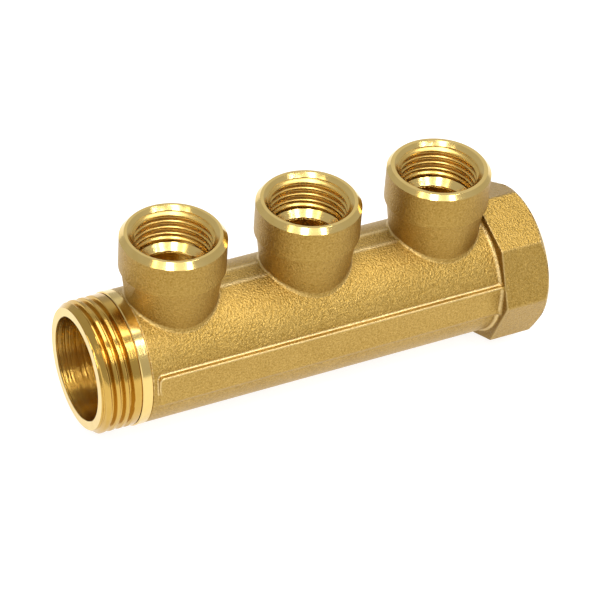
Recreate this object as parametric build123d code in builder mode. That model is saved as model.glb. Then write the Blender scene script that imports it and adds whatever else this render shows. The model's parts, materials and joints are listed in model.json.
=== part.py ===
from build123d import *

import os
from math import radians, tan

# Bar manifold in forged brass: a G1 male end, three G1/2 outlets and a G1 female octagon end.
# Millimetres. X is the run's axis, from the male end to the female end. The outlets point up, +Z.
# The origin is where the middle outlet's axis meets the run's axis.
# The real body is one forging. Its regions are separate solids here that meet on flat seams.

# Run
male_face_x = -60.5
male_seam_x = -47.6
shoulder_x = 48.0
run_end_x = 61.0
run_bore_r = 13.0
barrel_r = 16.65
flash_flat_z = 16.45
flash_width = 6.0
flash_cut = 1.0

# Outlets
outlet_spacing = 36.0
outlet_top_z = 34.2
collar_bottom_z = 24.4
collar_r = 13.0
collar_chamfer_r = 1.0
collar_chamfer_z = 1.3
neck_top_r = 12.4
neck_taper = 0.138
neck_fillet = 0.7
outlet_mouth_r = 11.0
throat_r = 9.75
passage_r = 8.0
passage_top_z = collar_bottom_z - (throat_r - passage_r)

# Threads: Whitworth form, G1 for the run and G1/2 for the outlets
flank_angle = 27.5
crest_share = 0.62
run_pitch = 25.4 / 11
outlet_pitch = 25.4 / 14
male_crest_r = 16.45
male_root_r = 15.15
female_crest_r = 15.15
female_root_r = 16.6
outlet_crest_r = 9.32
outlet_root_r = 10.45
male_turns = 4
female_turns = 4
outlet_turns = 5

# Male end
male_edge_r = 15.2
male_chamfer_length = 1.75
groove_end_x = -50.3
turned_collar_r = 16.75
edge_break = 0.3
bore_break = 0.1

# Raised pads on the two sides of the barrel
pad_face_y = 17.2
pad_low_z = -4.0
pad_high_z = 5.3
pad_start_x = -46.3

# Octagon
octagon_flats = 37.0
octagon_corner_r = 1.2
octagon_seam_x = 47.2
octagon_face_r = 18.3
octagon_face_cut = 1.5
octagon_rim_r = 0.3
socket_mouth_r = 17.2
socket_floor_x = 48.6

outlet_xs = [-outlet_spacing, 0, outlet_spacing]
os.makedirs("parts", exist_ok=True)


def thread_turns(start, pitch, turns, crest_r, root_r):
    """(position, radius) pairs for turns of thread, from one crest's near edge to the next."""
    flank = abs(crest_r - root_r) * tan(radians(flank_angle))
    crest = crest_share * (pitch - 2 * flank)
    root = pitch - 2 * flank - crest
    pairs = []
    for turn in range(turns):
        near = start + turn * pitch
        pairs.append((near, crest_r))
        pairs.append((near + crest, crest_r))
        pairs.append((near + crest + flank, root_r))
        pairs.append((near + crest + flank + root, root_r))
    return pairs


def neck_outline(outlet_x):
    """Half section of a drafted neck, from the run's axis up to its collar."""
    return [
        (outlet_x, 0),
        (outlet_x + neck_top_r - neck_taper * collar_bottom_z, 0),
        (outlet_x + neck_top_r, collar_bottom_z),
        (outlet_x, collar_bottom_z),
    ]


# Male end: thread, run-out groove and turned collar
male_profile = [
    (male_face_x, run_bore_r + bore_break),
    (male_face_x, male_edge_r),
]
male_profile += thread_turns(
    male_face_x + male_chamfer_length, run_pitch, male_turns, male_crest_r, male_root_r
)[:-1]
male_profile += [
    (groove_end_x, male_root_r),
    (groove_end_x, turned_collar_r - edge_break),
    (groove_end_x + edge_break, turned_collar_r),
    (male_seam_x, turned_collar_r),
    (male_seam_x, run_bore_r),
    (male_face_x + bore_break, run_bore_r),
]
with BuildPart() as male_end:
    with BuildSketch(Plane.XZ):
        with BuildLine():
            Polyline(*male_profile, close=True)
        make_face()
    revolve(axis=Axis.X)
male_end.part.label = "male_end"
export_step(male_end.part, "parts/male_end.step")

# Barrel: one tee for each outlet, met midway between outlets
tee_seams = [
    male_seam_x,
    -outlet_spacing / 2,
    outlet_spacing / 2,
    octagon_seam_x,
]
tee_names = ["male_side_tee", "middle_tee", "octagon_side_tee"]
tees = []
for index, outlet_x in enumerate(outlet_xs):
    start_x = tee_seams[index]
    end_x = tee_seams[index + 1]
    outlet_axis = Axis((outlet_x, 0, 0), (0, 0, 1))
    with BuildPart() as tee:
        with BuildSketch(Plane.YZ.offset(start_x)):
            Circle(barrel_r)
        extrude(amount=end_x - start_x)
        with BuildSketch(Plane.XZ):
            with BuildLine():
                Polyline(*neck_outline(outlet_x), close=True)
            make_face()
        revolve(axis=outlet_axis)
        fillet(tee.edges().filter_by(GeomType.BSPLINE), neck_fillet)
        # Raised pads, one on each side
        pad_left = max(start_x, pad_start_x)
        for side in (-1, 1):
            with BuildSketch(Plane.XY.offset(pad_low_z)):
                with Locations(((pad_left + end_x) / 2, side * pad_face_y / 2)):
                    Rectangle(end_x - pad_left, pad_face_y)
            extrude(amount=pad_high_z - pad_low_z)
        # Flat land where the forging's flash was trimmed, top and bottom
        for land_left, land_right in (
            (start_x, outlet_x - collar_r),
            (outlet_x + collar_r, end_x),
        ):
            if land_right > land_left:
                with BuildSketch(Plane.XY.offset(flash_flat_z)):
                    with Locations(((land_left + land_right) / 2, 0)):
                        Rectangle(land_right - land_left, flash_width)
                extrude(amount=flash_cut, mode=Mode.SUBTRACT)
        with BuildSketch(Plane.XY.offset(-flash_flat_z)):
            with Locations(((start_x + end_x) / 2, 0)):
                Rectangle(end_x - start_x, flash_width)
        extrude(amount=-flash_cut, mode=Mode.SUBTRACT)
        # Waterways
        with BuildSketch(Plane.YZ.offset(start_x)):
            Circle(run_bore_r)
        extrude(amount=end_x - start_x, mode=Mode.SUBTRACT)
        with BuildSketch(Plane.XZ):
            with BuildLine():
                Polyline(
                    (outlet_x, 0),
                    (outlet_x + passage_r, 0),
                    (outlet_x + passage_r, passage_top_z),
                    (outlet_x + throat_r, collar_bottom_z),
                    (outlet_x, collar_bottom_z),
                    close=True,
                )
            make_face()
        revolve(axis=outlet_axis, mode=Mode.SUBTRACT)
    tee.part.label = tee_names[index]
    export_step(tee.part, f"parts/{tee_names[index]}.step")

# Outlet collars: chamfered mouth, thread and a plain band below it
outlet_thread = thread_turns(
    0, outlet_pitch, outlet_turns, outlet_crest_r, outlet_root_r
)
band_top_z = outlet_top_z - outlet_turns * outlet_pitch
for number, outlet_x in enumerate(outlet_xs, start=1):
    collar_profile = [
        (outlet_crest_r, band_top_z),
        (outlet_crest_r, collar_bottom_z),
        (collar_r, collar_bottom_z),
        (collar_r, outlet_top_z - collar_chamfer_z),
        (collar_r - collar_chamfer_r, outlet_top_z),
        (outlet_mouth_r, outlet_top_z),
        (outlet_root_r, outlet_top_z - outlet_mouth_r + outlet_root_r),
    ]
    collar_profile += [(r, outlet_top_z - depth) for depth, r in outlet_thread[3:]]
    with BuildPart() as outlet_collar:
        with BuildSketch(Plane.XZ):
            with BuildLine():
                Polyline(*[(outlet_x + r, z) for r, z in collar_profile], close=True)
            make_face()
        revolve(axis=Axis((outlet_x, 0, 0), (0, 0, 1)))
    outlet_collar.part.label = f"outlet_collar_{number}"
    export_step(outlet_collar.part, f"parts/outlet_collar_{number}.step")

# Octagon end: spanner flats outside, thread inside
socket_thread = thread_turns(
    0, run_pitch, female_turns, female_crest_r, female_root_r
)
rim_reach = 3 * octagon_face_cut
with BuildPart() as octagon_end:
    with BuildSketch(Plane.YZ.offset(shoulder_x)):
        RegularPolygon(octagon_flats / 2, side_count=8, major_radius=False)
    extrude(amount=run_end_x - shoulder_x)
    fillet(octagon_end.edges().filter_by(Axis.X), octagon_corner_r)
    fillet(octagon_end.edges().group_by(Axis.X)[0], octagon_rim_r)
    with BuildSketch(Plane.XZ):
        with BuildLine():
            Polyline(
                (shoulder_x, 0),
                (shoulder_x, octagon_face_r + rim_reach),
                (run_end_x - rim_reach, octagon_face_r + rim_reach),
                (run_end_x, octagon_face_r),
                (run_end_x, 0),
                close=True,
            )
        make_face()
    revolve(axis=Axis.X, mode=Mode.INTERSECT)
    with BuildSketch(Plane.XZ):
        with BuildLine():
            Polyline(
                (shoulder_x, barrel_r + shoulder_x - octagon_seam_x),
                (shoulder_x + 1, barrel_r + shoulder_x - octagon_seam_x),
                (shoulder_x + 1, 0),
                (octagon_seam_x, 0),
                (octagon_seam_x, barrel_r),
            )
            RadiusArc(
                (octagon_seam_x, barrel_r),
                (shoulder_x, barrel_r + shoulder_x - octagon_seam_x),
                shoulder_x - octagon_seam_x,
            )
        make_face()
    revolve(axis=Axis.X)
    with BuildSketch(Plane.XY.offset(pad_low_z)):
        with Locations(((octagon_seam_x + shoulder_x) / 2, 0)):
            Rectangle(shoulder_x - octagon_seam_x, 2 * pad_face_y)
    extrude(amount=pad_high_z - pad_low_z)
    # The last neck reaches past the seam
    with BuildSketch(Plane.XZ):
        with BuildLine():
            Polyline(*neck_outline(outlet_spacing), close=True)
        make_face()
    revolve(axis=Axis((outlet_spacing, 0, 0), (0, 0, 1)), mode=Mode.SUBTRACT)
    socket_profile = [
        (octagon_seam_x, 0),
        (octagon_seam_x, run_bore_r),
        (socket_floor_x, run_bore_r),
        (socket_floor_x, female_crest_r),
        (run_end_x - female_turns * run_pitch, female_crest_r),
    ]
    socket_profile += [(run_end_x - depth, r) for depth, r in socket_thread[:2:-1]]
    socket_profile += [
        (run_end_x - socket_mouth_r + female_root_r, female_root_r),
        (run_end_x, socket_mouth_r),
        (run_end_x, 0),
    ]
    with BuildSketch(Plane.XZ):
        with BuildLine():
            Polyline(*socket_profile, close=True)
        make_face()
    revolve(axis=Axis.X, mode=Mode.SUBTRACT)
octagon_end.part.label = "octagon_end"
export_step(octagon_end.part, "parts/octagon_end.step")
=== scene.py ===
import json
import math

import bmesh
import bpy
import numpy as np
from mathutils import Matrix, Vector


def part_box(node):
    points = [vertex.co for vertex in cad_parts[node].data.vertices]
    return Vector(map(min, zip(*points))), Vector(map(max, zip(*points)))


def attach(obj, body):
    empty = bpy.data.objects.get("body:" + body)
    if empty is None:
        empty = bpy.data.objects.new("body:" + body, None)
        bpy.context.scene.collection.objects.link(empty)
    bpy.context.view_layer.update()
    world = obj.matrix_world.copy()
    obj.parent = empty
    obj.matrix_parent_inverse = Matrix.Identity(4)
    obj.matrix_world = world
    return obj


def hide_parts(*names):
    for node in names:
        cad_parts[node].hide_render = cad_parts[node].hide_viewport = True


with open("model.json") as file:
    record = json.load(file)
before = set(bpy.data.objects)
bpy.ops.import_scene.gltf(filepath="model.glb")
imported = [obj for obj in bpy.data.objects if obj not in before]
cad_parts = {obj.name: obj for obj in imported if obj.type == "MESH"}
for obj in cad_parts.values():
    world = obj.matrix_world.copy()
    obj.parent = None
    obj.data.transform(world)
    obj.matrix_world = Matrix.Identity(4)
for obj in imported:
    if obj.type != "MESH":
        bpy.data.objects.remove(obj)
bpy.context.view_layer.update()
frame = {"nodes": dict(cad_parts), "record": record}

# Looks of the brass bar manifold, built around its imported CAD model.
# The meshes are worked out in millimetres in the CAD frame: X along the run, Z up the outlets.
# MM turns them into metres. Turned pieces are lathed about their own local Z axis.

MM = 0.001
BODY = "root"


def box_mm(node):
    """Lowest and highest corners of a CAD node, in millimetres."""
    low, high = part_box(node)
    return np.array(low) / MM, np.array(high) / MM


mounts = {m["name"]: m for m in frame["record"]["mounts"]}
male_low, male_high = box_mm("male_end")
octagon_low, octagon_high = box_mm("octagon_end")
collar_low, collar_high = box_mm("outlet_collar_2")
tee_low, tee_high = box_mm("middle_tee")

# Run
FACE_X = male_low[0]
MALE_SEAM_X = male_high[0]
TURNED_COLLAR_R = male_high[1]
BORE_R = mounts["run_bore"]["dims"]["r_mm"]
OCTAGON_SEAM_X = octagon_low[0]
END_X = octagon_high[0]
SHOULDER_X = OCTAGON_SEAM_X + 0.8
BARREL_R = 16.65
FLASH_Z = -tee_low[2]
FLASH_EDGE_Y = math.sqrt(BARREL_R**2 - FLASH_Z**2)

# Outlets
OUTLET_XS = [mounts[f"outlet_{i}"]["pos_m"][0] / MM for i in (1, 2, 3)]
OUTLET_TOP_Z = collar_high[2]
COLLAR_BOTTOM_Z = collar_low[2]
COLLAR_R = collar_high[1]
NECK_TOP_R = COLLAR_R - 0.6
NECK_TAPER = 0.138
THROAT_R = 9.75
PASSAGE_R = 8.0
PASSAGE_TOP_Z = COLLAR_BOTTOM_Z - (THROAT_R - PASSAGE_R)
LINER_R = 10.3
LINER_BOTTOM_Z = PASSAGE_TOP_Z - 0.3
MOUTH_R = 11.0
CHAMFERS = [(1.2, 1.45), (1.1, 1.3), (0.95, 1.1)]  # each outlet's rim: inwards, downwards

# Threads. Shares are parts of the pitch: the crest, then each flank.
MALE_SHARES = (0.28, 0.32)
FEMALE_SHARES = (0.14, 0.40)
RUN_PITCH = 25.4 / 11
OUTLET_PITCH = 25.4 / 14
MALE_CREST_R = mounts["male_thread"]["dims"]["r_mm"]
MALE_THREAD_ROOT_R = 15.3
MALE_GROOVE_R = 15.9
FEMALE_CREST_R = mounts["female_thread"]["dims"]["r_mm"]
FEMALE_ROOT_R = 16.6
OUTLET_CREST_R = mounts["outlet_2"]["dims"]["r_mm"]
OUTLET_THREAD_ROOT_R = 10.25

# Pads and octagon
PAD_Y = tee_high[1]
PAD_Z = (-4.0, 5.3)
PAD_X = (-46.3, SHOULDER_X + 1.5)
OCTAGON_APOTHEM = 18.5
OCTAGON_FACE_R = 18.3
SOCKET_FLOOR_X = 48.6
SOCKET_BACK_X = SOCKET_FLOOR_X - 0.15
SOCKET_LINER_R = 17.5
FLANGE = 0.3

# Fillets of the forging
FLASH_EDGE_R = 0.05
PAD_FILLET = 0.25
OCTAGON_FILLET = 0.9
NECK_FILLET = 0.7


# --- Forged skin: a distance field, turned into a mesh -------------------------------------------


def join(a, b, radius):
    """Union of two distance fields with a fillet between them."""
    return np.maximum(radius, np.minimum(a, b)) - np.hypot(
        np.maximum(radius - a, 0), np.maximum(radius - b, 0)
    )


def meet(a, b, radius):
    """Intersection of two distance fields with a rounded edge."""
    return np.minimum(-radius, np.maximum(a, b)) + np.hypot(
        np.maximum(radius + a, 0), np.maximum(radius + b, 0)
    )


def slab(value, low, high):
    """Distance outside the span from low to high, negative inside it."""
    return np.abs(value - (low + high) / 2) - (high - low) / 2


def octagon_field(x, y, z):
    """Octagonal prism with a corner straight up and a cone cut over its outer end."""
    corner_r, rim_r = 1.2, 0.3
    lean_x, lean_r = 1.63, 1.5
    around = np.hypot(y, z)
    turn = math.pi / 4
    angle = np.arctan2(z, y) - turn / 2
    folded = angle - turn * np.round(angle / turn)
    inner = OCTAGON_APOTHEM - corner_r
    out = around * np.cos(folded) - inner
    side = np.abs(around * np.sin(folded)) - inner * math.tan(turn / 2)
    prism = np.hypot(np.maximum(out, 0), np.maximum(side, 0)) + np.minimum(out, 0) - corner_r
    prism = meet(prism, SHOULDER_X - x, rim_r)
    cone = (x - END_X) * lean_x + (around - OCTAGON_FACE_R) * lean_r
    cone = cone / math.hypot(lean_x, lean_r)
    return np.maximum(np.maximum(prism, cone), x - (END_X - FLANGE))


def pad_field(x, y, z):
    """Plate through the run that stands out as a pad on both sides, softer along its lower edge."""
    corner_r, sharp_r, added_r = 1.2, 0.3, 1.4
    edge_r = sharp_r + added_r * np.clip((2 - z) / 4, 0, 1)
    across = slab(x, *PAD_X) + corner_r
    up = slab(z, *PAD_Z) + corner_r
    plate = np.hypot(np.maximum(across, 0), np.maximum(up, 0))
    plate = plate + np.minimum(np.maximum(across, up), 0) - corner_r
    return meet(plate, np.abs(y) - PAD_Y, edge_r)


def neck_field(x, y, z, outlet_x):
    """Drafted cone. Slanting the wall shortens the distance to it a little."""
    slant = 0.985
    wall = NECK_TOP_R - NECK_TAPER * (COLLAR_BOTTOM_Z - z)
    return np.maximum((np.hypot(x - outlet_x, y) - wall) * slant, -z)


def forging_field(x, y, z):
    """The whole forging: its outside joined up, then cut at its seams, bore, socket and passages."""
    sunk, overlap = 2, 0.05
    around = np.hypot(y, z)
    body = meet(around - BARREL_R, np.abs(z) - FLASH_Z, FLASH_EDGE_R)
    body = np.maximum(body, x - (SHOULDER_X + sunk))
    body = join(body, pad_field(x, y, z), PAD_FILLET)
    body = join(body, octagon_field(x, y, z), OCTAGON_FILLET)
    for outlet_x in OUTLET_XS:
        body = join(body, neck_field(x, y, z, outlet_x), NECK_FILLET)
    body = np.maximum(body, z - COLLAR_BOTTOM_Z)
    body = np.maximum(body, MALE_SEAM_X - x)
    body = np.maximum(body, BORE_R - around)
    socket_space = np.maximum(around - SOCKET_LINER_R, SOCKET_BACK_X - x)
    body = np.maximum(body, -socket_space)
    for outlet_x in OUTLET_XS:
        rho = np.hypot(x - outlet_x, y)
        passage = np.maximum(rho - PASSAGE_R, -z)
        liner = np.maximum(rho - (LINER_R - overlap), LINER_BOTTOM_Z - z)
        body = np.maximum(body, -np.minimum(passage, liner))
    return body


def gradient(field, points, reach):
    """Slope of the field at each point, from samples at plus and minus reach."""
    slopes = []
    for axis in range(3):
        offset = np.zeros(3)
        offset[axis] = reach
        slopes.append(field(*(points + offset).T) - field(*(points - offset).T))
    return np.stack(slopes, axis=1) / (2 * reach)


def to_surface(field, points, rounds=3):
    """Moves each point down the slope until the field there is 0."""
    reach, least = 0.01, 0.25
    for _ in range(rounds):
        slope = gradient(field, points, reach)
        length2 = np.maximum((slope**2).sum(1), least)
        points = points - slope * (field(*points.T) / length2)[:, None]
    return points


def surface_net(field, low, high, step):
    """Vertices and quads of the surface where field is 0, one vertex in each grid cell it crosses."""
    axes = [np.arange(a, b + step, step) for a, b in zip(low, high)]
    value = field(*np.meshgrid(*axes, indexing="ij"))
    inside = value < 0
    cells = [n - 1 for n in inside.shape]
    count = np.zeros(cells, np.int8)
    for i in (0, 1):
        for j in (0, 1):
            for k in (0, 1):
                count += inside[i : cells[0] + i, j : cells[1] + j, k : cells[2] + k]
    crossed = (count > 0) & (count < 8)
    index = np.full(cells, -1)
    index[crossed] = np.arange(crossed.sum())
    points = (np.argwhere(crossed) + 0.5) * step + np.array(low)
    quads = []
    for axis in range(3):
        first = np.moveaxis(inside, axis, 0)
        cell = np.moveaxis(index, axis, 0)
        change = first[1:, 1:-1, 1:-1] != first[:-1, 1:-1, 1:-1]
        i, j, k = np.nonzero(change)
        ring = np.stack(
            [cell[i, j, k], cell[i, j + 1, k], cell[i, j + 1, k + 1], cell[i, j, k + 1]], 1
        )
        backwards = first[i, j + 1, k + 1] != (axis == 1)
        ring[~backwards] = ring[~backwards][:, ::-1]
        quads.append(ring)
    return points, np.concatenate(quads)


def evened(points, quads, field):
    """Slides the vertices along the surface so that the quads are even."""
    pairs = np.concatenate([quads[:, [a, (a + 1) % 4]] for a in range(4)])
    total = np.zeros_like(points)
    number = np.zeros(len(points))
    for a, b in ((0, 1), (1, 0)):
        np.add.at(total, pairs[:, a], points[pairs[:, b]])
        np.add.at(number, pairs[:, a], 1)
    return to_surface(field, 0.5 * points + 0.5 * total / number[:, None], 2)


def grain_of(points):
    """How coarse the blasted grain is: coarse on the barrel, finer on the necks, octagon and pads."""
    near = 0.05
    barrel, octagon, pad, neck = 1, 0.9, 0.6, 0.7
    x, y, z = points.T
    grain = np.full(len(points), float(barrel))
    grain[x > SHOULDER_X] = octagon
    grain[pad_field(x, y, z) < near] = pad
    for outlet_x in OUTLET_XS:
        grain[neck_field(x, y, z, outlet_x) < near] = neck
    return grain


def bend_of(points):
    """How convex the skin is, which says where edges look worn and where highlights are painted.
    Negative in hollows, which get painted highlights too.
    """
    reach = 0.3
    softened, flash_highlight, deepened = 0.15, 1.6, 1.8
    bend = -6 * forging_field(*points.T)
    for axis in range(3):
        for sign in (-1, 1):
            offset = np.zeros(3)
            offset[axis] = sign * reach
            bend += forging_field(*(points + offset).T)
    bend /= reach**2
    x, y, z = points.T
    lower_pad = (z < 0) & (np.abs(y) > 14) & (x < SHOULDER_X - 1)
    bend[lower_pad] *= softened
    # Painted highlight along the flash land's edge.
    flash_edge = (np.abs(z - FLASH_Z) < 0.12) & (np.abs(np.abs(y) - FLASH_EDGE_Y) < 0.3)
    bend[flash_edge & (x < SHOULDER_X)] += flash_highlight
    # Stronger painted highlight in the hollow at the octagon's shoulder.
    shoulder_hollow = (bend < 0) & (np.abs(x - SHOULDER_X) < 1.2)
    bend[shoulder_hollow] *= deepened
    return bend


def shade_and_tone_of(points):
    """How much painted shade and darker tone the skin gets: painted shade most in the octagon's corner
    and some on the necks, a darker tone on the octagon.
    """
    reach = 0.6
    octagon, neck = 0.25, 0.28
    x, y, z = points.T
    # Painted shade in the corner at the octagon's shoulder.
    corner = np.clip(1 - np.abs(x - SHOULDER_X) / reach, 0, 1)
    corner = corner * (np.hypot(y, z) > BARREL_R + reach)
    # A darker tone over the octagon.
    grime = np.maximum(corner, octagon * (x > SHOULDER_X))
    # Painted shade on the necks, under the collars.
    for outlet_x in OUTLET_XS:
        on_neck = np.clip((reach - neck_field(x, y, z, outlet_x)) / reach, 0, 1)
        grime = np.maximum(grime, neck * on_neck * (z > 0))
    return grime


def bored_faces(points, quads):
    """Which faces belong to the run's bore or to an outlet's passage."""

    def radius(a, b):
        return np.hypot(a, b)[quads].mean(1)

    x, y, z = points.T
    in_bore = radius(y, z) < BORE_R + 0.15
    in_passages = [radius(x - outlet_x, y) < PASSAGE_R + 0.2 for outlet_x in OUTLET_XS]
    return in_bore | np.any(in_passages, 0)


def forged_skin(step):
    """The forging's mesh, with cells of about step and normals taken from the field."""
    margin = 0.6
    low = (MALE_SEAM_X - margin, octagon_low[1] - margin, octagon_low[2] - margin)
    high = (END_X + margin, octagon_high[1] + margin, COLLAR_BOTTOM_Z + margin)
    points, quads = surface_net(forging_field, low, high, step)
    points = to_surface(forging_field, points)
    points = evened(points, quads, forging_field)
    mesh = bpy.data.meshes.new("forged_body")
    mesh.from_pydata(points * MM, [], quads.tolist())
    mesh.validate()
    # Layers: how convex the skin is, for worn edges and painted highlights; grain size; painted shade
    # and a darker tone.
    layers = {"bend": bend_of(points), "grain": grain_of(points), "grime": shade_and_tone_of(points)}
    for name, value in layers.items():
        layer = mesh.attributes.new(name, "FLOAT", "POINT")
        layer.data.foreach_set("value", value.astype(np.float32))
    mesh.polygons.foreach_set("material_index", bored_faces(points, quads).astype(int))
    mesh.polygons.foreach_set("use_smooth", [True] * len(mesh.polygons))
    slope = gradient(forging_field, points, 0.05)
    slope /= np.maximum(np.linalg.norm(slope, axis=1), 1e-6)[:, None]
    mesh.normals_split_custom_set_from_vertices(slope.tolist())
    body = bpy.data.objects.new("forged_body", mesh)
    bpy.context.scene.collection.objects.link(body)
    return body


# --- Lathed pieces ------------------------------------------------------------------------------

TURNED, BLASTED, THREADED, BORED = 0, 1, 2, 3
LATHED_GRAIN = 0.7
# Darker tone on the lathed pieces' blasted sides.
LATHED_SHADE_AND_TONE = 0.33
SHARP_DEGREES = 24


def plain(points, angle, material=TURNED):
    """Rows that are the same all the way round, from places along the axis and radii."""
    return [(np.full_like(angle, a), np.full_like(angle, r), material) for a, r in points]


def thread_wave(along, angle, centre, pitch, shares):
    """1 on the thread's crest and 0 at its root. centre is a crest's middle at angle 0."""
    crest, flank = shares
    phase = (along - centre) / pitch - angle / (2 * math.pi)
    off = np.abs(phase - np.round(phase))
    wave = np.clip((crest / 2 + flank - off) / flank, 0, 1)
    return wave * wave * (3 - 2 * wave)


def thread(low, high, centre, pitch, shares, radius_at, angle):
    """Rows that follow the helix from low to high. radius_at takes the place and the wave's height."""
    crest, flank = shares
    edges = [-crest / 2 - flank, -crest / 2, crest / 2, crest / 2 + flank]
    rows_each = (7, 2, 7, 2)  # flank, crest, flank, root
    parts = []
    for a, b, number in zip(edges, edges[1:] + [1 + edges[0]], rows_each):
        parts += list(np.linspace(a, b, number + 1)[:-1])
    rows = []
    for turn in range(math.floor((low - centre) / pitch) - 2, math.ceil((high - centre) / pitch) + 2):
        for part in parts:
            along = np.clip(centre + (turn + part + angle / (2 * math.pi)) * pitch, low, high)
            wave = thread_wave(along, angle, centre, pitch, shares)
            rows.append((along, radius_at(along, wave), THREADED))
    return rows


def lathe(name, rows, angle, matrix, materials):
    """Closed ring whose section is rows, each with its place along the axis and its radius."""
    weld, sliver = 0.001 * MM, 0.0005 * MM
    columns = len(angle)
    points = np.concatenate(
        [np.stack([r * np.cos(angle), r * np.sin(angle), a], 1) for a, r, _ in rows]
    )
    faces = []
    slots = []
    for i, (_, _, material) in enumerate(rows):
        here = i * columns
        there = (i + 1) % len(rows) * columns
        for c in range(columns - 1):
            faces.append((here + c, here + c + 1, there + c + 1, there + c))
            slots.append(material)
    mesh = bpy.data.meshes.new(name)
    mesh.from_pydata(points * MM, [], faces)
    mesh.polygons.foreach_set("material_index", slots)
    work = bmesh.new()
    work.from_mesh(mesh)
    bmesh.ops.remove_doubles(work, verts=work.verts, dist=weld)
    bmesh.ops.dissolve_degenerate(work, edges=work.edges, dist=sliver)
    bmesh.ops.recalc_face_normals(work, faces=work.faces)
    work.to_mesh(mesh)
    work.free()
    for layer_name, value in (("grain", LATHED_GRAIN), ("grime", LATHED_SHADE_AND_TONE)):
        layer = mesh.attributes.new(layer_name, "FLOAT", "POINT")
        layer.data.foreach_set("value", [value] * len(mesh.vertices))
    mesh.polygons.foreach_set("use_smooth", [True] * len(mesh.polygons))
    mesh.set_sharp_from_angle(angle=math.radians(SHARP_DEGREES))
    for material in materials:
        mesh.materials.append(material)
    piece = bpy.data.objects.new(name, mesh)
    piece.matrix_world = matrix
    bpy.context.scene.collection.objects.link(piece)
    flats = piece.modifiers.new("flats", "WEIGHTED_NORMAL")
    flats.weight = 100
    flats.keep_sharp = True
    return piece


def male_end(materials):
    """Thread, run-out groove and turned collar. Its seams meet the forging's."""
    angle = np.linspace(0, 2 * math.pi, 289)
    depth = MALE_CREST_R - MALE_THREAD_ROOT_R
    run_out, run_out_length = FACE_X + 7.6, 0.6
    crest_at_0 = FACE_X + 2.3
    groove_low, groove_high = FACE_X + 9.9, FACE_X + 10.15
    edge_r, chamfer_length, break_r, bore_break = 15.2, 1.75, 0.25, 0.1
    wall, tuck = 0.05, 0.15

    def radius_at(along, wave):
        land = np.clip((along - run_out) / run_out_length, 0, 1)
        ridge = MALE_THREAD_ROOT_R + depth * np.maximum(wave, land)
        lead = edge_r + (along - FACE_X) * (MALE_CREST_R - edge_r) / chamfer_length
        return np.minimum(ridge, lead)

    rows = plain([(FACE_X, BORE_R + bore_break)], angle)
    rows += thread(FACE_X, groove_low, crest_at_0, RUN_PITCH, MALE_SHARES, radius_at, angle)
    rows += plain(
        [
            (groove_low + wall, MALE_GROOVE_R),
            (groove_high, MALE_GROOVE_R),
            (groove_high + wall, TURNED_COLLAR_R - break_r),
            (groove_high + break_r, TURNED_COLLAR_R),
            (MALE_SEAM_X - break_r, TURNED_COLLAR_R),
            (MALE_SEAM_X, BARREL_R - tuck),
        ],
        angle,
    )
    rows += plain([(MALE_SEAM_X, BORE_R)], angle, BORED)
    rows += plain([(FACE_X + bore_break, BORE_R)], angle)
    return lathe("male_threaded_end", rows, angle, Matrix.Rotation(math.pi / 2, 4, "Y"), materials)


def outlet_collar(number, outlet_x, chamfer, materials):
    """Collar with its thread, the cone below it and a liner hidden inside the neck."""
    angle = np.linspace(0, 2 * math.pi, 217)
    depth = OUTLET_THREAD_ROOT_R - OUTLET_CREST_R
    thread_end = OUTLET_TOP_Z - 9.4
    thread_top = OUTLET_TOP_Z - 0.9
    crest_turn = 60 / 360
    crest_at_0 = OUTLET_TOP_Z - 2.1 - crest_turn * OUTLET_PITCH
    chamfer_r, chamfer_z = chamfer
    round_r, round_middle, rim_break, step = 0.3, 0.09, 0.03, 0.05

    def radius_at(along, wave):
        fade = np.clip((along - thread_end) / OUTLET_PITCH, 0, 1)
        groove = OUTLET_CREST_R + depth * (1 - wave) * fade
        return np.maximum(groove, MOUTH_R - (OUTLET_TOP_Z - along))

    rows = plain([(COLLAR_BOTTOM_Z, LINER_R)], angle)
    rows += plain(
        [
            (COLLAR_BOTTOM_Z, COLLAR_R - round_r),
            (COLLAR_BOTTOM_Z + round_middle, COLLAR_R - round_middle),
            (COLLAR_BOTTOM_Z + round_r, COLLAR_R),
        ],
        angle,
        BLASTED,
    )
    rows += plain(
        [
            (OUTLET_TOP_Z - chamfer_z, COLLAR_R),
            (OUTLET_TOP_Z - step, COLLAR_R - chamfer_r + rim_break),
            (OUTLET_TOP_Z, COLLAR_R - chamfer_r - rim_break),
            (OUTLET_TOP_Z, MOUTH_R + 0.06),
            (OUTLET_TOP_Z - 0.06, MOUTH_R - 0.02),
            (thread_top + 0.02, MOUTH_R - 0.88),
        ],
        angle,
    )
    rows += thread(
        thread_end, thread_top, crest_at_0, OUTLET_PITCH, FEMALE_SHARES, radius_at, angle
    )[::-1]
    rows += plain(
        [
            (COLLAR_BOTTOM_Z + step, OUTLET_CREST_R),
            (COLLAR_BOTTOM_Z, THROAT_R),
            (PASSAGE_TOP_Z + step, PASSAGE_R + step),
            (PASSAGE_TOP_Z - step, PASSAGE_R),
            (LINER_BOTTOM_Z, PASSAGE_R),
            (LINER_BOTTOM_Z, LINER_R),
        ],
        angle,
    )
    place = Matrix.Translation((outlet_x * MM, 0, 0))
    return lathe(f"threaded_outlet_{number}", rows, angle, place, materials)


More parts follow.
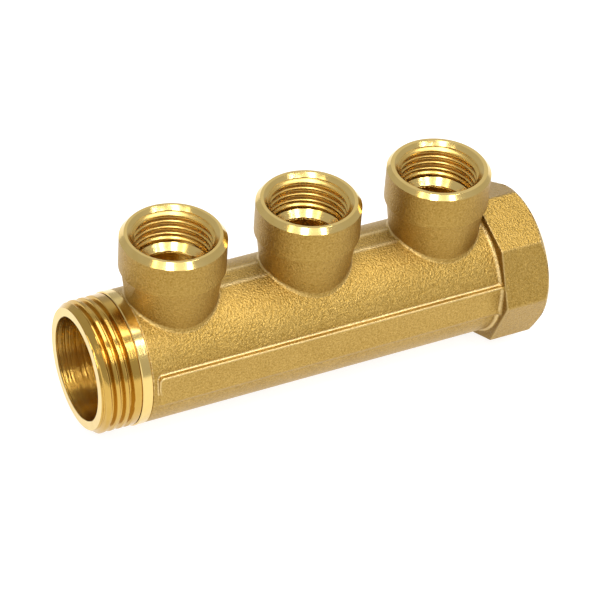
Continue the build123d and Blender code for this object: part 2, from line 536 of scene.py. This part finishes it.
def socket(materials):
    """Thread inside the octagon end, with its end face and a back hidden in the forging."""
    angle = np.linspace(0, 2 * math.pi, 289)
    depth = FEMALE_ROOT_R - FEMALE_CREST_R
    mouth_r, edge_break = 17.2, 0.1
    thread_end = SOCKET_FLOOR_X + 2.4

    def radius_at(along, wave):
        fade = np.clip((along - thread_end) / RUN_PITCH, 0, 1)
        groove = FEMALE_CREST_R + depth * (1 - wave) * fade
        return np.maximum(groove, mouth_r - (END_X - along))

    rows = plain(
        [
            (SOCKET_BACK_X, SOCKET_LINER_R),
            (SOCKET_BACK_X, BORE_R),
            (SOCKET_FLOOR_X, BORE_R + edge_break),
            (SOCKET_FLOOR_X, FEMALE_CREST_R),
        ],
        angle,
    )
    rows += thread(
        thread_end, END_X - edge_break, thread_end, RUN_PITCH, FEMALE_SHARES, radius_at, angle
    )
    rows += plain(
        [
            (END_X, mouth_r),
            (END_X, OCTAGON_FACE_R),
            (END_X - FLANGE, OCTAGON_FACE_R + FLANGE),
            (END_X - FLANGE, SOCKET_LINER_R),
        ],
        angle,
    )
    return lathe("socket_thread", rows, angle, Matrix.Rotation(math.pi / 2, 4, "Y"), materials)


# --- Materials ----------------------------------------------------------------------------------

# Each pair is blended by soft clouds.
BLASTED_DARK = ((0.26, 0.15, 0.022, 1), (0.33, 0.20, 0.038, 1))
BLASTED_LIGHT = ((0.54, 0.35, 0.095, 1), (0.62, 0.42, 0.13, 1))
PALE = ((0.70, 0.49, 0.15, 1), (0.80, 0.60, 0.24, 1))
BRIGHT = ((0.64, 0.42, 0.11, 1), (0.76, 0.53, 0.17, 1))
AMBER = ((0.56, 0.35, 0.075, 1), (0.68, 0.44, 0.11, 1))
ORANGE = ((0.48, 0.29, 0.06, 1), (0.60, 0.385, 0.095, 1))
# Pale brass for worn edges and painted highlights.
WEAR_AND_HIGHLIGHT = (0.92, 0.73, 0.38, 1)
# Dark brown for painted shade and a darker tone.
SHADE_AND_TONE_COLOUR = (0.22, 0.12, 0.015, 1)
WHITE = (1, 1, 1, 1)
FINE_MARKS = 0.01 * MM
DEEP_MARKS = 0.09 * MM


def add(tree, kind, inputs=None, **settings):
    """A new node, with its settings, and its inputs set to values or linked to sockets."""
    made = tree.nodes.new(kind)
    for key, value in settings.items():
        setattr(made, key, value)
    for key, value in (inputs or {}).items():
        if isinstance(value, bpy.types.NodeSocket):
            tree.links.new(value, made.inputs[key])
        else:
            made.inputs[key].default_value = value
    return made


def new_material(name):
    """A material, its node tree and its shader."""
    material = bpy.data.materials.new(name)
    material.use_nodes = True
    return material, material.node_tree, material.node_tree.nodes["Principled BSDF"]


def noise(tree, where, scale, detail=2.0, roughness=0.5):
    return add(
        tree,
        "ShaderNodeTexNoise",
        {"Vector": where, "Scale": scale, "Detail": detail, "Roughness": roughness},
    ).outputs["Fac"]


def ramp(tree, value, low, high, to_low, to_high):
    """Maps low..high to to_low..to_high, clamped."""
    return add(
        tree,
        "ShaderNodeMapRange",
        {"Value": value, "From Min": low, "From Max": high, "To Min": to_low, "To Max": to_high},
    ).outputs["Result"]


def blend_colour(tree, factor, a, b):
    """Colour from a to b. The numbers are the Mix node's sockets for colours."""
    return add(tree, "ShaderNodeMix", {0: factor, 6: a, 7: b}, data_type="RGBA").outputs[2]


def blasted_brass():
    """Forged and shot-blasted: satin, grainy, bright where edges are worn, with painted highlights on
    ledges and in hollows, painted shade in the octagon's corner and on the necks, and a darker tone.
    """
    material, tree, shader = new_material("blasted_brass")
    where = add(tree, "ShaderNodeTexCoord").outputs["Object"]
    cloud = noise(tree, where, 90, 3)
    coarse = noise(tree, where, 2100, 2, 0.6)
    fine = noise(tree, where, 4800, 2, 0.6)
    size = add(tree, "ShaderNodeAttribute", attribute_name="grain").outputs["Fac"]
    bend = add(tree, "ShaderNodeAttribute", attribute_name="bend").outputs["Fac"]
    grime = add(tree, "ShaderNodeAttribute", attribute_name="grime").outputs["Fac"]
    # Worn convex edges, and painted highlights on ledges, fillets and hollows.
    convex = ramp(tree, bend, 0.5, 2.5, 0, 0.45)
    hollow = ramp(tree, bend, -0.6, -2.4, 0, 0.6)
    wear_and_highlight = add(tree, "ShaderNodeMath", {0: convex, 1: hollow}, operation="ADD").outputs[0]
    peaks = add(tree, "ShaderNodeMath", {0: coarse, 1: fine}, operation="ADD").outputs[0]
    dark = blend_colour(tree, cloud, *BLASTED_DARK)
    light = blend_colour(tree, cloud, *BLASTED_LIGHT)
    colour = blend_colour(tree, ramp(tree, peaks, 0.72, 1.3, 0, 1), dark, light)
    colour = blend_colour(tree, wear_and_highlight, colour, WEAR_AND_HIGHLIGHT)
    # Painted shade in corners and on the necks, and a darker tone elsewhere.
    colour = blend_colour(tree, ramp(tree, grime, 0, 1, 0, 0.75), colour, SHADE_AND_TONE_COLOUR)
    tree.links.new(colour, shader.inputs["Base Color"])
    rough = ramp(tree, fine, 0.3, 0.7, 0.34, 0.48)
    tree.links.new(rough, shader.inputs["Roughness"])
    shader.inputs["Metallic"].default_value = 1.0
    soft = add(
        tree, "ShaderNodeBump", {"Height": fine, "Strength": 0.6, "Distance": 0.00005}
    ).outputs["Normal"]
    bump = add(
        tree,
        "ShaderNodeBump",
        {"Height": coarse, "Strength": size, "Distance": 0.0003, "Normal": soft},
    )
    tree.links.new(bump.outputs["Normal"], shader.inputs["Normal"])
    return material


def turned_brass(name, axis, roughness, groove_depth, colours):
    """Cut on a lathe about a local axis, with fine marks around it."""
    material, tree, shader = new_material(name)
    where = add(tree, "ShaderNodeTexCoord").outputs["Object"]
    split = add(tree, "ShaderNodeSeparateXYZ", {"Vector": where})
    squares = [
        add(tree, "ShaderNodeMath", {0: split.outputs[k], 1: 2.0}, operation="POWER").outputs[0]
        for k in "XYZ"
        if k != axis
    ]
    total = add(tree, "ShaderNodeMath", {0: squares[0], 1: squares[1]}, operation="ADD").outputs[0]
    radius = add(tree, "ShaderNodeMath", {0: total, 1: 0.5}, operation="POWER").outputs[0]
    along = add(
        tree, "ShaderNodeMath", {0: radius, 1: split.outputs[axis]}, operation="ADD"
    ).outputs[0]
    marks = add(
        tree,
        "ShaderNodeTexNoise",
        {"W": along, "Scale": 5000, "Detail": 3.0},
        noise_dimensions="1D",
    ).outputs["Fac"]
    cloud = noise(tree, where, 220, 3)
    tree.links.new(blend_colour(tree, cloud, *colours), shader.inputs["Base Color"])
    tree.links.new(
        ramp(tree, marks, 0.3, 0.7, 0.8 * roughness, 1.2 * roughness), shader.inputs["Roughness"]
    )
    shader.inputs["Metallic"].default_value = 1.0
    bump = add(
        tree, "ShaderNodeBump", {"Height": marks, "Strength": 1.0, "Distance": groove_depth}
    )
    tree.links.new(bump.outputs["Normal"], shader.inputs["Normal"])
    return material


# --- Stage --------------------------------------------------------------------------------------


def direction(azimuth, elevation):
    """Unit vector from the object. Azimuth 0 is towards -Y, and it grows towards +X."""
    az, el = math.radians(azimuth), math.radians(elevation)
    return Vector((math.sin(az) * math.cos(el), -math.cos(az) * math.cos(el), math.sin(el)))


def aim(thing, place, target, roll=0.0):
    """Puts a camera or light at place, looking at target, turned by roll about its line of sight."""
    look = (target - place).normalized()
    side = look.cross(Vector((0, 0, 1))).normalized()
    up = side.cross(look)
    turned_side = side * math.cos(roll) + up * math.sin(roll)
    turned_up = up * math.cos(roll) - side * math.sin(roll)
    axes = Matrix((turned_side, turned_up, -look)).transposed()
    thing.matrix_world = Matrix.Translation(place) @ axes.to_4x4()


def make_camera():
    azimuth, elevation, roll, distance = -29.48, 38.09, 4.45, 0.6988
    camera = bpy.data.objects.new("camera", bpy.data.cameras.new("camera"))
    bpy.context.scene.collection.objects.link(camera)
    camera.data.sensor_width = 36
    camera.data.lens = 169.1
    camera.data.clip_start = 0.01
    camera.data.clip_end = 50
    target = Vector((-0.39 * MM, 0, 3.19 * MM))
    place = target + direction(azimuth, elevation) * distance
    aim(camera, place, target, math.radians(roll))
    bpy.context.scene.camera = camera


def softbox(name, azimuth, elevation, distance, size, power, colour=(1, 1, 1)):
    """Area light aimed at the middle of the object: distance and size in metres, power in watts."""
    data = bpy.data.lights.new(name, "AREA")
    data.shape = "RECTANGLE"
    data.size, data.size_y = size
    data.energy = power
    data.color = colour
    light = bpy.data.objects.new(name, data)
    bpy.context.scene.collection.objects.link(light)
    aim(light, direction(azimuth, elevation) * distance, Vector((0, 0, 0)))


def make_floor():
    size, gap = 6.0, 0.1
    height = (octagon_low[2] - gap) * MM
    mesh = bpy.data.meshes.new("floor")
    corners = [(-size, -size), (size, -size), (size, size), (-size, size)]
    mesh.from_pydata([(x, y, height) for x, y in corners], [], [(0, 1, 2, 3)])
    floor = bpy.data.objects.new("floor", mesh)
    bpy.context.scene.collection.objects.link(floor)
    material, _, shader = new_material("pale_floor")
    shader.inputs["Base Color"].default_value = (0.3, 0.3, 0.3, 1)
    shader.inputs["Roughness"].default_value = 0.8
    shader.inputs["Emission Color"].default_value = WHITE
    shader.inputs["Emission Strength"].default_value = 0.85
    mesh.materials.append(material)


def make_world(strength):
    world = bpy.data.worlds.new("studio")
    world.use_nodes = True
    background = world.node_tree.nodes["Background"]
    background.inputs["Color"].default_value = WHITE
    background.inputs["Strength"].default_value = strength
    bpy.context.scene.world = world


# --- Build --------------------------------------------------------------------------------------

turned = turned_brass("turned_brass", "Z", 0.15, FINE_MARKS, PALE)
# The male thread's darker brass is painted shade.
male_threaded = turned_brass("male_thread_brass", "Z", 0.16, FINE_MARKS, ORANGE)
threaded = turned_brass("threaded_brass", "Z", 0.26, FINE_MARKS, BRIGHT)
bored = turned_brass("bored_brass", "X", 0.2, DEEP_MARKS, AMBER)
bored_end = turned_brass("bored_end", "Z", 0.2, DEEP_MARKS, AMBER)
blasted = blasted_brass()

for node in frame["nodes"].values():
    node.data.materials.clear()
    node.data.materials.append(blasted)

QUICK_STEP, FINE_STEP = 0.6, 0.35
body = forged_skin(FINE_STEP)
body.data.materials.append(blasted)
body.data.materials.append(bored)
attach(body, BODY)
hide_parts("male_side_tee", "middle_tee", "octagon_side_tee", "octagon_end")

nose = male_end([turned, blasted, male_threaded, bored_end])
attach(nose, BODY)
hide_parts("male_end")

for number, (outlet_x, chamfer) in enumerate(zip(OUTLET_XS, CHAMFERS), start=1):
    collar = outlet_collar(number, outlet_x, chamfer, [turned, blasted, threaded, bored_end])
    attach(collar, BODY)
    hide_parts(f"outlet_collar_{number}")

inlet = socket([turned, blasted, threaded, bored_end])
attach(inlet, BODY)

make_camera()
make_floor()
make_world(0.6)
softbox("front", -25, 50, 0.9, (1.0, 0.45), 1.2)
softbox("key", -34, 48, 0.88, (0.16, 0.32), 2.0)
softbox("second", 10, 46, 0.88, (0.12, 0.3), 1.0)
softbox("side", 32, 51.5, 0.88, (0.06, 0.2), 0.5)
softbox("warm", -67, 47, 0.88, (0.1, 0.3), 0.45, (1.0, 0.85, 0.5))
softbox("top", -29.5, 74, 0.88, (0.2, 0.4), 1.4)
softbox("overhead", 105, 78, 1.3, (0.85, 0.9), 9.0)
softbox("back", 150, 34, 1.3, (1.5, 0.45), 0.5)
bpy.context.scene.view_settings.view_transform = "Standard"
